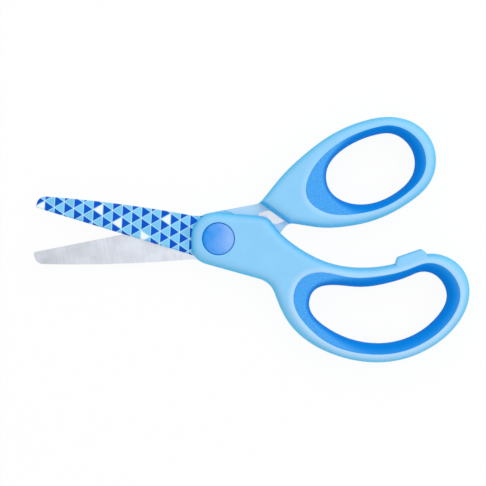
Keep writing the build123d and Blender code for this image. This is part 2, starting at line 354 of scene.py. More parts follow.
def fill_region(outer, inner, outer_rows, inner_rows, step):
    """Points and triangles over a region inside one loop, and outside another unless it is None.

    Rows of points follow the loops at the depths given, and an even filling lies between."""
    loops = [outer] if inner is None else [outer, inner]
    bands = [rows[-1] if len(rows) else 0 for rows in (outer_rows, inner_rows)]

    def within(points):
        kept = inside(outer, points)
        return kept if inner is None else kept & ~inside(inner, points)

    groups, edges = list(loops), []
    base = 0
    for loop in loops:
        count = len(loop)
        edges += [(base + k, base + (k + 1) % count) for k in range(count)]
        base += count
    for k, loop in enumerate(loops):
        for depth in (outer_rows, inner_rows)[k]:
            row = grow(loop, (-1, 1)[k] * depth)
            # A row that has run into another part of its own loop is left out there.
            kept = within(row) & (distance_to(loop, row) > 0.98 * depth - 0.002)
            if len(loops) == 2:
                clear = (bands[1], 0)[k] + step * 0.4
                kept &= distance_to(loops[1 - k], row) > clear
            groups.append(row[kept])
    low, high = outer.min(axis=0), outer.max(axis=0)
    grid_step = step * 1.5
    xs = np.arange(low[0], high[0], grid_step)
    ys = np.arange(low[1], high[1], grid_step * math.sqrt(0.75))
    grid = np.array([(x + grid_step / 2 * (k % 2), y) for k, y in enumerate(ys) for x in xs])
    grid = grid[within(grid)]
    for loop, band in zip(loops, bands):
        grid = grid[distance_to(loop, grid) > band + grid_step * 0.6]
    groups.append(grid)
    points = np.vstack(groups)
    made = delaunay_2d_cdt([Vector(point) for point in points], edges, [], 1, 1e-6, False)
    points = np.array([tuple(point) for point in made[0]])
    triangles = np.array(made[2])
    triangles = triangles[within(points[triangles].mean(axis=1))]
    a, b, c = (points[triangles[:, k]] for k in range(3))
    turned = (b - a)[:, 0] * (c - a)[:, 1] - (b - a)[:, 1] * (c - a)[:, 0] < 0
    triangles[turned] = triangles[turned][:, ::-1]
    return points, triangles


def shell(name, points, triangles, top, bottom):
    """A closed solid between two heights over a triangulated region."""
    count = len(points)
    vertices = np.vstack([np.column_stack([points, top]), np.column_stack([points, bottom])])
    faces = [tuple(face) for face in triangles]
    faces += [tuple(face[::-1] + count) for face in triangles]
    sides = {(a, b) for a, b, c in triangles} | {(b, c) for a, b, c in triangles}
    sides |= {(c, a) for a, b, c in triangles}
    for a, b in sorted(sides):
        if (b, a) not in sides:
            faces.append((b, a, a + count, b + count))
    mesh = bpy.data.meshes.new(name)
    mesh.from_pydata((vertices * MM).tolist(), [], faces)
    piece = new_piece(name, mesh)
    merge(piece, DOUBLED)
    return piece


def new_piece(name, mesh):
    """An object at the origin that shows a mesh."""
    piece = bpy.data.objects.new(name, mesh)
    bpy.context.scene.collection.objects.link(piece)
    return piece


def merge(piece, distance):
    """Joins a piece's doubled points."""
    modifier = piece.modifiers.new("merge", "WELD")
    modifier.merge_threshold = distance
    settle(piece)


def settle(piece):
    """Turns a piece and its modifiers into a plain mesh."""
    graph = bpy.context.evaluated_depsgraph_get()
    mesh = bpy.data.meshes.new_from_object(piece.evaluated_get(graph))
    piece.modifiers.clear()
    old = piece.data
    piece.data = mesh
    bpy.data.meshes.remove(old)
    mesh.name = piece.name


def carve(piece, tool, operation="DIFFERENCE"):
    """Cuts a tool's shape out of a piece, or joins it on, and removes the tool."""
    modifier = piece.modifiers.new("carve", "BOOLEAN")
    modifier.object = tool
    modifier.operation = operation
    modifier.solver = "MANIFOLD"
    before = len(piece.data.polygons)
    settle(piece)
    if len(piece.data.polygons) == before:
        raise RuntimeError(f"{tool.name} changed nothing on {piece.name}")
    bpy.data.objects.remove(tool)


def smooth(piece, sharp=32):
    """Smooth shading, but for edges that turn by more than an angle in degrees."""
    piece.data.shade_smooth()
    piece.data.set_sharp_from_angle(angle=math.radians(sharp))


def closed_tool(name, vertices, faces):
    """A closed tool from its corners in millimetres."""
    mesh = bpy.data.meshes.new(name)
    mesh.from_pydata([Vector(corner) * MM for corner in vertices], [], faces)
    mesh.update()
    tool = new_piece(name, mesh)
    face_outwards(tool)
    return tool


def prism(name, section, start, end):
    """A closed tool with one section, given as offsets from a line, along that line.

    Each section point is (distance to the left of the line, height)."""
    start, end = np.array(start), np.array(end)
    along = (end - start) / np.linalg.norm(end - start)
    left = np.array([-along[1], along[0]])
    vertices = []
    for place in (start - along * NECK_REACH, end + along * NECK_REACH):
        vertices += [(*(place + left * across), height) for across, height in section]
    count = len(section)
    faces = [tuple(range(count)), tuple(reversed(range(count, 2 * count)))]
    for k in range(count):
        faces.append((k, k + count, (k + 1) % count + count, (k + 1) % count))
    return closed_tool(name, vertices, faces)


def turned(name, profile, steps=144):
    """A closed tool turned about the pivot. The profile's points are (radius, height)."""
    angles = np.linspace(0, 2 * math.pi, steps, endpoint=False)
    vertices, faces = [], []
    for radius, height in profile:
        vertices += [(radius * math.cos(a), radius * math.sin(a), height) for a in angles]
    for row in range(len(profile) - 1):
        for k in range(steps):
            here, there = row * steps + k, row * steps + (k + 1) % steps
            faces.append((here, there, there + steps, here + steps))
    faces.append(tuple(reversed(range(steps))))
    faces.append(tuple(range(len(vertices) - steps, len(vertices))))
    return closed_tool(name, vertices, faces)


def face_outwards(piece):
    """Turns a closed mesh's faces outwards."""
    work = bmesh.new()
    work.from_mesh(piece.data)
    bmesh.ops.recalc_face_normals(work, faces=work.faces)
    work.to_mesh(piece.data)
    work.free()


def blade_tool(node):
    """A merged copy of a CAD blade, to cut its seat."""
    tool = new_piece(node + "_seat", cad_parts[node].data.copy())
    merge(tool, 1e-6)
    return tool


# ---- finishes ----


def linear(hex_colour):
    """An sRGB hex colour as linear RGBA."""
    shares = [int(hex_colour[k : k + 2], 16) / 255 for k in (1, 3, 5)]
    return [s / 12.92 if s <= 0.04045 else ((s + 0.055) / 1.055) ** 2.4 for s in shares] + [1]


def add(tree, kind, links=None, values=None, **settings):
    """Adds a node with its settings, the values of its inputs and the links into it.

    A link comes from a socket, or from a node's first output."""
    node = tree.nodes.new(kind)
    for key, value in settings.items():
        setattr(node, key, value)
    for key, value in (values or {}).items():
        node.inputs[key].default_value = value
    for key, source in (links or {}).items():
        tree.links.new(getattr(source, "outputs", (source,))[0], node.inputs[key])
    return node


def new_material(name):
    """An empty material and its tree, with the object's own coordinates and normals."""
    material = bpy.data.materials.new(name)
    material.use_nodes = True
    tree = material.node_tree
    tree.nodes.clear()
    own = add(tree, "ShaderNodeTexCoord").outputs
    return material, tree, own["Object"], own["Normal"]


def moulded_polypropylene():
    """Injection-moulded polypropylene: satin, a little waxy, with a very fine orange-peel grain.

    Steep walls and edges are painted deeper in colour, as painted shade, and the crest round each
    lining is painted paler, as a painted highlight."""
    colours = bpy.context.scene.scissors_colours
    material, tree, place, normal = new_material("moulded_polypropylene_light_blue")
    facing = add(tree, "ShaderNodeSeparateXYZ", {0: normal})
    level = add(tree, "ShaderNodeMath", {0: facing.outputs["Z"]}, operation="ABSOLUTE")
    # Painted shade: steep walls and edges get the deeper handle colour, by how far the normal
    # leans from Z.
    steep = add(
        tree, "ShaderNodeMapRange", {"Value": level},
        {"From Min": 0.1, "From Max": 0.95, "To Min": 0.88, "To Max": 0.0},
        interpolation_type="SMOOTHSTEP",
    )
    tone = add(
        tree, "ShaderNodeMix", {0: steep},
        {6: linear(colours.handle), 7: linear(colours.handle_painted_shade)}, data_type="RGBA",
    )
    # Painted highlight: the crest just outside each lining is painted paler.
    seam_gap = add(tree, "ShaderNodeAttribute", attribute_name=SEAM_GAP)
    crest = add(
        tree, "ShaderNodeMapRange", {"Value": seam_gap.outputs["Fac"]},
        {"From Min": 0.5 * MM, "From Max": 2.4 * MM, "To Min": 1.0, "To Max": 0.0},
        interpolation_type="SMOOTHSTEP",
    )
    # The painted crest highlight is stronger on the finger bow, on the side of -Y, than on the
    # thumb bow.
    spot = add(tree, "ShaderNodeSeparateXYZ", {0: place})
    painted_highlight_by_y = add(
        tree, "ShaderNodeMapRange", {"Value": spot.outputs["Y"]},
        {"From Min": -25 * MM, "From Max": 30 * MM, "To Min": 0.85, "To Max": 0.15},
    )
    crest = add(
        tree, "ShaderNodeMath", {0: crest, 1: painted_highlight_by_y},
        operation="MULTIPLY",
    )
    tone = add(
        tree, "ShaderNodeMix", {0: crest, 6: tone.outputs[2]},
        {7: linear(colours.handle_crest_highlight)}, data_type="RGBA",
    )
    # Over the thumb blade's tang the plastic is a thin skin, and its flat face there is painted
    # paler: painted light over the shade that the finger neck casts.
    off_skin = add(
        tree, "ShaderNodeMath", {0: spot.outputs["Z"]}, {1: (thumb_blade_top + TANG_COVER) * MM},
        operation="SUBTRACT",
    )
    off_skin = add(tree, "ShaderNodeMath", {0: off_skin}, operation="ABSOLUTE")
    thin = add(
        tree, "ShaderNodeMapRange", {"Value": off_skin},
        {"From Min": 0.02 * MM, "From Max": 0.1 * MM, "To Min": 0.85, "To Max": 0.0},
    )
    skin_painted_light = add(
        tree, "ShaderNodeMapRange", {"Value": level, "To Max": thin},
        {"From Min": 0.9, "From Max": 0.98},
    )
    tone = add(
        tree, "ShaderNodeMix", {0: skin_painted_light, 6: tone.outputs[2]},
        {7: linear(colours.handle_skin_painted_light)}, data_type="RGBA",
    )
    drift = add(
        tree, "ShaderNodeTexNoise", {"Vector": place}, {"Scale": 1 / (9 * MM), "Detail": 2}
    )
    shade = add(
        tree, "ShaderNodeMapRange", {"Value": drift},
        {"From Min": 0.35, "From Max": 0.65, "To Min": 0.975, "To Max": 1.02},
    )
    colour = add(
        tree, "ShaderNodeHueSaturation",
        {"Color": tone.outputs[2], "Value": shade},
    )
    grain = add(
        tree, "ShaderNodeTexNoise", {"Vector": place}, {"Scale": 1 / (0.22 * MM), "Detail": 2}
    )
    rough = add(
        tree, "ShaderNodeMapRange", {"Value": drift},
        {"From Min": 0.3, "From Max": 0.7, "To Min": 0.36, "To Max": 0.44},
    )
    bump = add(
        tree, "ShaderNodeBump", {"Height": grain},
        {"Strength": 0.12, "Distance": 0.02 * MM},
    )
    shader = add(
        tree, "ShaderNodeBsdfPrincipled",
        {"Base Color": colour, "Roughness": rough, "Normal": bump},
        {"IOR": 1.49, "Specular IOR Level": 0.12},
    )
    add(tree, "ShaderNodeOutputMaterial", {"Surface": shader})
    return material


def soft_elastomer():
    """Thermoplastic elastomer from a spark-eroded mould: matt, with a fine speckled grain.

    The grain shows on the flat part, and the roll into the finger hole is smoother and is painted
    deeper in colour, as painted shade."""
    colours = bpy.context.scene.scissors_colours
    material, tree, place, _ = new_material("soft_elastomer_blue")
    roll_share = add(tree, "ShaderNodeAttribute", attribute_name=ROLL_SHARE)
    flat = add(
        tree, "ShaderNodeMapRange", {"Value": roll_share.outputs["Fac"]},
        {"From Min": 0.18, "From Max": 1.0}, interpolation_type="SMOOTHSTEP",
    )
    # Painted shade: the roll into the hole gets the deeper lining colour.
    tone = add(
        tree, "ShaderNodeMix", {0: flat},
        {6: linear(colours.lining_roll_painted_shade), 7: linear(colours.lining)}, data_type="RGBA",
    )
    speck = add(
        tree, "ShaderNodeTexNoise", {"Vector": place}, {"Scale": 1 / (0.4 * MM), "Detail": 2}
    )
    speckle = add(
        tree, "ShaderNodeMapRange", {"Value": speck},
        {"From Min": 0.35, "From Max": 0.65, "To Min": 0.85, "To Max": 1.1},
    )
    spread_speckle = add(
        tree, "ShaderNodeMix", {0: flat, 3: speckle},
        {2: 1.0}, data_type="FLOAT",
    )
    colour = add(
        tree, "ShaderNodeHueSaturation",
        {"Color": tone.outputs[2], "Value": spread_speckle},
    )
    bump = add(
        tree, "ShaderNodeBump",
        {"Height": speck},
        {"Strength": 0.35, "Distance": 0.04 * MM},
    )
    shader = add(
        tree, "ShaderNodeBsdfPrincipled", {"Base Color": colour, "Normal": bump},
        {"Roughness": 0.62, "IOR": 1.47, "Specular IOR Level": 0.05},
    )
    add(tree, "ShaderNodeOutputMaterial", {"Surface": shader})
    return material


def moulded_cap_plastic():
    """Moulded ABS: glossier than the handles, with a faint ripple."""
    colours = bpy.context.scene.scissors_colours
    material, tree, place, _ = new_material("moulded_abs_cap_blue")
    drift = add(
        tree, "ShaderNodeTexNoise", {"Vector": place}, {"Scale": 1 / (5 * MM), "Detail": 2}
    )
    spot = add(tree, "ShaderNodeSeparateXYZ", {0: place})
    # The colour is painted across the disc: deeper towards the blades' side, at -X, and paler
    # towards +X, as painted shade and painted highlight, with a random drift.
    toward_lit_side = add(
        tree, "ShaderNodeMapRange", {"Value": spot.outputs["X"]},
        {"From Min": -4.5 * MM, "From Max": 4.5 * MM, "To Min": -0.6, "To Max": 0.45},
    )
    painted_light_and_drift = add(
        tree, "ShaderNodeMath", {0: toward_lit_side, 1: drift},
        operation="ADD", use_clamp=True,
    )
    colour = add(
        tree, "ShaderNodeMix", {0: painted_light_and_drift},
        {6: linear(colours.cap_painted_shade), 7: linear(colours.cap)}, data_type="RGBA",
    )
    ripple = add(
        tree, "ShaderNodeTexNoise", {"Vector": place}, {"Scale": 1 / (0.5 * MM), "Detail": 2}
    )
    bump = add(
        tree, "ShaderNodeBump", {"Height": ripple},
        {"Strength": 0.08, "Distance": 0.02 * MM},
    )
    shader = add(
        tree, "ShaderNodeBsdfPrincipled", {"Base Color": colour.outputs[2], "Normal": bump},
        {"Roughness": 0.3, "IOR": 1.53, "Specular IOR Level": 0.2},
    )
    add(tree, "ShaderNodeOutputMaterial", {"Surface": shader})
    return material


def blade_finish(name, outer_side, angle, anchor, pale_cells):
    """Ground stainless steel with a triangle print on the outer face.

    The bare faces show fine grinding lines across the blade and a soft, cloudy polish, and are
    painted brighter near the pivot and darker towards the tip, as a painted reflection. The ink is
    a thin, smooth film."""
    colours = bpy.context.scene.scissors_colours
    sizes = bpy.context.scene.scissors_print
    material, tree, place, normal = new_material(name)
    column, row = sizes.column_width, sizes.row_height

    # Coordinates in columns and rows of triangles.
    cells = add(
        tree, "ShaderNodeMapping", {"Vector": place},
        {
            "Location": (anchor[0] * MM, anchor[1] * MM, 0),
            "Rotation": (0, 0, sizes.tilt * outer_side),
            "Scale": (column, row, 1),
        },
        vector_type="TEXTURE",
    )
    split = add(tree, "ShaderNodeSeparateXYZ", {0: cells})
    across, up = split.outputs["X"], split.outputs["Y"]
    half = add(tree, "ShaderNodeMath", {0: across}, {1: 0.5}, operation="MULTIPLY")
    families = [
        across,
        add(tree, "ShaderNodeMath", {0: up, 1: half}, operation="ADD"),
        add(tree, "ShaderNodeMath", {0: up, 1: half}, operation="SUBTRACT"),
    ]
    slant_spacing = 1 / math.hypot(1 / row, 0.5 / column)
    parts, floors, lines = [], [], []
    for family, spacing in zip(families, (column, slant_spacing, slant_spacing)):
        part = add(tree, "ShaderNodeMath", {0: family}, operation="FRACT")
        parts.append(part)
        floors.append(add(tree, "ShaderNodeMath", {0: family}, operation="FLOOR"))
        # From 0.5 at a line down to 0 half way to the next one.
        offset = add(tree, "ShaderNodeMath", {0: part}, {1: 0.5}, operation="SUBTRACT")
        nearness = add(tree, "ShaderNodeMath", {0: offset}, operation="ABSOLUTE")
        line = add(
            tree, "ShaderNodeMapRange", {"Value": nearness},
            {
                "From Min": 0.5 - 0.62 * sizes.line_width / spacing,
                "From Max": 0.5 - 0.36 * sizes.line_width / spacing,
            },
        )
        lines.append(line)
    either = add(tree, "ShaderNodeMath", {0: lines[1], 1: lines[2]}, operation="MAXIMUM")
    line = add(tree, "ShaderNodeMath", {0: lines[0], 1: either}, operation="MAXIMUM")
    node = add(tree, "ShaderNodeMath", {0: lines[1], 1: lines[2]}, operation="MULTIPLY")
    points_left = add(
        tree, "ShaderNodeMath", {0: parts[1], 1: parts[2]}, operation="LESS_THAN"
    )

    # Each triangle has its own tone, and a few are pale.
    cell = add(tree, "ShaderNodeCombineXYZ", {"X": floors[1], "Y": floors[2], "Z": points_left})
    chance = add(tree, "ShaderNodeTexWhiteNoise", {"Vector": cell}, noise_dimensions="3D")
    tone = add(
        tree, "ShaderNodeMix", {0: points_left},
        {6: linear(colours.ink_dark), 7: linear(colours.ink_light)}, data_type="RGBA",
    )
    shade = add(
        tree, "ShaderNodeMapRange", {"Value": chance}, {"To Min": 0.9, "To Max": 1.06}
    )
    ink = add(
        tree, "ShaderNodeHueSaturation", {"Color": tone.outputs[2], "Value": shade}
    ).outputs["Color"]
    for pale_cell in pale_cells:
        apart = add(
            tree, "ShaderNodeVectorMath", {0: cell}, {1: pale_cell}, operation="DISTANCE"
        )
        here = add(
            tree, "ShaderNodeMath", {0: apart.outputs["Value"]}, {1: 0.5}, operation="LESS_THAN"
        )
        ink = add(
            tree, "ShaderNodeMix", {0: here, 6: ink}, {7: linear(colours.ink_pale)},
            data_type="RGBA",
        ).outputs[2]
    for share, hex_colour in ((line, colours.ink_line), (node, colours.ink_node)):
        ink = add(
            tree, "ShaderNodeMix", {0: share, 6: ink}, {7: linear(hex_colour)}, data_type="RGBA"
        ).outputs[2]

    # Along the blade from the pivot, and across it, in metres.
    along = add(
        tree, "ShaderNodeMapping", {"Vector": place}, {"Rotation": (0, 0, math.radians(angle))},
        vector_type="TEXTURE",
    )
    reach = add(tree, "ShaderNodeSeparateXYZ", {0: along}).outputs["X"]
    # Painted reflection: the bare steel is painted brighter near the pivot and darker towards the
    # tip.
    painted_reflection_falloff = add(
        tree, "ShaderNodeMapRange", {"Value": reach},
        {"From Min": 8 * MM, "From Max": 58 * MM, "To Min": 1.16, "To Max": 0.9},
    )
    marks = add(
        tree, "ShaderNodeMapping", {"Vector": along},
        {"Scale": (0.3 * MM, 9 * MM, 1 * MM)}, vector_type="TEXTURE",
    )
    grind = add(
        tree, "ShaderNodeTexNoise", {"Vector": marks}, {"Scale": 1.0, "Detail": 2}
    )
    cloud = add(
        tree, "ShaderNodeTexNoise", {"Vector": place}, {"Scale": 1 / (5 * MM), "Detail": 3}
    )
    shine = painted_reflection_falloff
    for texture, swing in ((grind, 0.05), (cloud, 0.09)):
        change = add(
            tree, "ShaderNodeMapRange", {"Value": texture},
            {"From Min": 0.3, "From Max": 0.7, "To Min": 1 - swing, "To Max": 1 + swing},
        )
        shine = add(
            tree, "ShaderNodeMath", {0: shine, 1: change}, operation="MULTIPLY"
        )
    steel = add(
        tree, "ShaderNodeHueSaturation", {"Value": shine}, {"Color": linear(colours.steel)}
    )

    # The print lies on the outer face and its bevel, and not on the edges.
    facing = add(tree, "ShaderNodeSeparateXYZ", {0: normal})
    outwards = add(
        tree, "ShaderNodeMath", {0: facing.outputs["Z"]}, {1: outer_side}, operation="MULTIPLY"
    )
    printed = add(
        tree, "ShaderNodeMath", {0: outwards}, {1: 0.5}, operation="GREATER_THAN"
    )
    colour = add(
        tree, "ShaderNodeMix", {0: printed, 6: steel, 7: ink}, data_type="RGBA"
    )
    bare = add(tree, "ShaderNodeMath", {1: printed}, {0: 1.0}, operation="SUBTRACT")
    rough = add(
        tree, "ShaderNodeMapRange", {"Value": printed}, {"To Min": 0.34, "To Max": 0.42}
    )
    bump = add(
        tree, "ShaderNodeBump", {"Height": grind},
        {"Strength": 0.06, "Distance": 0.01 * MM},
    )
    shader = add(
        tree, "ShaderNodeBsdfPrincipled",
        {"Base Color": colour.outputs[2], "Metallic": bare, "Roughness": rough, "Normal": bump},
        {"Specular IOR Level": 0.06},
    )
    add(tree, "ShaderNodeOutputMaterial", {"Surface": shader})
    return material


def turned_steel(name, hex_colour, roughness):
    """Turned or pressed steel: rings of fine tool marks about the pivot."""
    material, tree, place, _ = new_material(name)
    rings = add(
        tree, "ShaderNodeTexWave", {"Vector": place},
        {"Scale": 1 / (6 * MM), "Distortion": 0.6, "Detail": 2},
        wave_type="RINGS", rings_direction="Z",
    )
    shine = add(
        tree, "ShaderNodeMapRange", {"Value": rings.outputs["Fac"]},
        {"To Min": 0.9, "To Max": 1.04},
    )
    colour = add(
        tree, "ShaderNodeHueSaturation", {"Value": shine},
        {"Color": linear(hex_colour)},
    )
    bump = add(
        tree, "ShaderNodeBump", {"Height": rings.outputs["Fac"]},
        {"Strength": 0.2, "Distance": 0.01 * MM},
    )
    shader = add(
        tree, "ShaderNodeBsdfPrincipled", {"Base Color": colour, "Normal": bump},
        {"Metallic": 1.0, "Roughness": roughness},
    )
    add(tree, "ShaderNodeOutputMaterial", {"Surface": shader})
    return material


def dress(piece, material):
    """Makes a material a piece's only one."""
    piece.data.materials.clear()
    piece.data.materials.append(material)


def finish_piece(piece, material, body, node):
    """Gives a piece its material and its body, and hides the CAD node that it stands for."""
    dress(piece, material)
    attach(piece, body)
    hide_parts(node)


# ---- pieces ----


def bow_outlines(handle, grip, face_height):
    """A handle's outline, its seam with the lining, and the finger hole."""
    sizes = bpy.context.scene.scissors_handles
    step = sizes.mesh_step / MM
    # Each softening reaches about as far as the flats of the CAD mesh are long.
    outline, seam = flat_face_loops(handle, face_height)[:2]
    hole = flat_face_loops(grip, handle_high)[1]
    outline = grow(soften(spread(outline, step), 0.6), sizes.inset_edge / MM)
    outline = soften(spread(outline, step), 0.5)
    seam = soften(spread(seam, step), 0.6)
    hole = grow(soften(spread(hole, step), 0.6), -sizes.hole_edge / MM)
    hole = soften(spread(hole, step), 0.4)
    return outline, seam, hole


def seam_rows(sizes):
    """Depths at which rows of points follow a seam, up to where its rounding ends."""
    return sizes.seam_round / MM * np.array([0.35, 0.7, 1.0])


def handle_body(name, outline, seam):
    """A handle moulding at full height all over, open where the lining goes.

    Its crest lies a little outside the seam."""
    sizes = bpy.context.scene.scissors_handles
    width, reach = sizes.rim_width / MM, sizes.seam_reach / MM
    rim_rows = swell_depths(width, sizes.rim_fullness, 15)
    inner_rows = [*seam_rows(sizes), *np.linspace(0.25, reach, 5)]
    points, triangles = fill_region(outline, seam, rim_rows, inner_rows, sizes.mesh_step / MM)
    gap = distance_to(seam, points)
    rise = half_height * swell(distance_to(outline, points), width, sizes.rim_fullness)
    rise -= sizes.seam_fall / MM * np.clip(1 - gap / reach, 0, 1) ** 2
    rise = np.maximum(rise - seam_drop(gap, sizes.seam_round / MM), 0)
    return shell(name, points, triangles, mid_height + rise, mid_height - rise)


def from_above(piece):
    """A piece's points as X and Y, in millimetres."""
    return np.array([vertex.co[:2] for vertex in piece.data.vertices]) / MM


def mark(piece, name, values):
    """Stores a value for each point of a piece, for its material to read."""
    attribute = piece.data.attributes.new(name, "FLOAT", "POINT")
    attribute.data.foreach_set("value", values)


class SCISSORS_OT_handles(bpy.types.Operator):
    """Make the two handle mouldings"""

    bl_idname = "scissors.handles"
    bl_label = "Handles"

    def execute(self, context):
        material = moulded_polypropylene()

        outline, seam, _ = bow_outlines("finger_handle", "finger_grip", handle_high)
        finger = handle_body("finger_handle_moulding", outline, seam)
        carve(finger, closing_stop(outline), "UNION")
        carve(finger, neck_cut("finger_neck_cut", FINGER_STEP, -1, finger_blade_base + INLAY_STEP))
        carve(finger, blade_tool("finger_blade"))
        carve(finger, cap_pocket("finger_cap_pocket", 1))
        smooth(finger)
        mark(finger, SEAM_GAP, distance_to(seam, from_above(finger)) * MM)
        finish_piece(finger, material, "finger_half", "finger_handle")

        outline, seam, _ = bow_outlines("thumb_handle", "thumb_grip", handle_low)
        thumb = handle_body("thumb_handle_moulding", outline, seam)
        carve(thumb, neck_cut("thumb_neck_cut", THUMB_STEP, 1, thumb_blade_top + TANG_COVER))
        boss_top = thumb_blade_top - INLAY_STEP
        boss_wall = [(BOSS_RADIUS, boss_top), (BOSS_RADIUS, handle_high)]
        carve(thumb, turned("thumb_boss_cut", boss_wall))
        carve(thumb, blade_tool("thumb_blade"))
        carve(thumb, tang_window("thumb_tang_window"))
        carve(thumb, cap_pocket("thumb_cap_pocket", -1))
        smooth(thumb)
        mark(thumb, SEAM_GAP, distance_to(seam, from_above(thumb)) * MM)
        finish_piece(thumb, material, "thumb_half", "thumb_handle")
        return {"FINISHED"}


def neck_cut(name, step, side, floor):
    """A tool that takes the other half's thickness off a neck, up to a drafted end wall.

    side is 1 where the cut is open above, and -1 where it is open below."""
    face = handle_high if side > 0 else handle_low
    wall_height = abs(face - floor)
    # Shares of the wall's height, and how far the wall has leant back there: drafted at first,
    # and rolled over into the bow's face at the end.
    lean = ((0, 0), (0.32, 0.35), (0.58, 0.8), (0.77, 1.35), (0.89, 2.0), (0.965, 2.8), (1.0, 3.8))
    section = [(side * back, floor + side * share * wall_height) for share, back in lean]
    section.append((side * WALL_REACH, face + side))
    section += [(-side * NECK_REACH, face + side), (-side * NECK_REACH, floor)]
    return prism(name, section, *step)


def tang_window(name):
    """A tool for the opening in the thumb neck that shows its steel tang."""
    corners = [
        (12.9, 8.15), (15.2, 9.0), (16.5, 8.95), (21.1, 5.7), (20.3, 5.3), (18.8, 4.75),
        (17.6, 4.85), (16.4, 5.4), (13.0, 6.9),
    ]
    outline = soften(spread(np.array(corners), 0.1), 0.22)
    points, triangles = fill_region(outline, None, [], [], 0.5)
    level = np.ones(len(points))
    return shell(name, points, triangles, level * handle_high, level * (thumb_blade_top - 0.05))


def closing_stop(outline):
    """The lug on the finger bow that meets the thumb bow when the blades close.

    It slopes down from the bow's crest to its outer edge."""
    drop, slope, edge, fullness = 1.9, 0.33, 0.9, 2.2
    lug = max(flat_face_loops("finger_handle", handle_high - STOP_STEP), key=perimeter)
    middle = lug.mean(axis=0)
    nearest = outline[np.linalg.norm(outline - middle, axis=1).argmin()]
    inwards = (nearest - middle) / np.linalg.norm(nearest - middle)
    whole = spread(hull(np.vstack([lug, lug + inwards * STOP_ROOT])), 0.2)
    points, triangles = fill_region(whole, None, swell_depths(edge, fullness, 7), [], 0.25)
    climb = points @ inwards
    climb -= climb.min()
    top = handle_high - drop + slope * climb
    top -= edge * (1 - swell(distance_to(whole, points), edge, fullness))
    return shell("closing_stop", points, triangles, top, 2 * mid_height - top)


def hull(points):
    """The convex outline round some points, anticlockwise."""
    ordered = sorted(map(tuple, points))
    sides = []
    for run in (ordered, ordered[::-1]):
        side = []
        for point in run:
            while len(side) > 1 and cross(side[-2], side[-1], point) <= 0:
                side.pop()
            side.append(point)
        sides += side[:-1]
    return np.array(sides)


def cross(a, b, c):
    """Twice the area of a triangle, positive when it turns left."""
    return (b[0] - a[0]) * (c[1] - a[1]) - (b[1] - a[1]) * (c[0] - a[0])


def cap_pocket(name, side):
    """The stepped bore for a cap, with a softened mouth. side is 1 for the front."""
    low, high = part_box("front_cap" if side > 0 else "back_cap")
    clearance, ledge_width, bore_depth = 0.1, 0.9, 3.2
    radius = (high.x - low.x) / 2 / MM + clearance
    seat = (low.z if side > 0 else high.z) / MM
    face = handle_high if side > 0 else handle_low
    profile = [(radius - ledge_width, seat - side * bore_depth), (radius - ledge_width, seat)]
    # How far the mouth has widened, and how far below the face.
    mouth = ((0, 0.35), (0.03, 0.2), (0.09, 0.09), (0.2, 0.02), (0.4, -0.05), (0.4, -1.0))
    profile += [(radius, seat)] + [(radius + wider, face - side * below) for wider, below in mouth]
    return turned(name, profile)


def roll_width(points, hole):
    """How wide a lining's roll into its hole is: narrow at the pivot's end, and wide far off."""
    sizes = bpy.context.scene.scissors_handles
    near, far = sizes.roll_near / MM, sizes.roll_far / MM
    share = (points[:, 0] - hole[:, 0].min()) / (ROLL_CHANGE * np.ptp(hole[:, 0]))
    share = np.clip(share, 0, 1)
    return near + (far - near) * share * share * (3 - 2 * share)


class SCISSORS_OT_linings(bpy.types.Operator):
    """Make the two soft linings of the finger holes"""

    bl_idname = "scissors.linings"
    bl_label = "Linings"

    def execute(self, context):
        sizes = context.scene.scissors_handles
        material = soft_elastomer()
        near, fullness = sizes.roll_near / MM, sizes.roll_fullness
        hole_rows = swell_depths(near, fullness, 10)
        hole_rows = [*hole_rows, *np.linspace(near, LINING_WIDTH, 6)[1:]]
        for body, handle, grip, height in (
            ("finger_half", "finger_handle", "finger_grip", handle_high),
            ("thumb_half", "thumb_handle", "thumb_grip", handle_low),
        ):
            outline, seam, hole = bow_outlines(handle, grip, height)
            points, triangles = fill_region(
                seam, hole, seam_rows(sizes), hole_rows, sizes.mesh_step / MM
            )
            to_seam, to_hole = distance_to(seam, points), distance_to(hole, points)
            roll = roll_width(points, hole)
            rise = half_height * swell(
                distance_to(outline, points), sizes.rim_width / MM, sizes.rim_fullness
            )
            rise -= sizes.seam_fall / MM
            rise *= swell(to_hole, roll, fullness) / swell(to_hole + to_seam, roll, fullness)
            rise = np.maximum(rise - seam_drop(to_seam, sizes.seam_round / MM), 0)
            top, bottom = mid_height + rise, mid_height - rise
            lining = shell(grip + "_lining", points, triangles, top, bottom)
            smooth(lining)
            points = from_above(lining)
            mark(lining, ROLL_SHARE, distance_to(hole, points) / roll_width(points, hole))
            finish_piece(lining, material, body, grip)
        return {"FINISHED"}


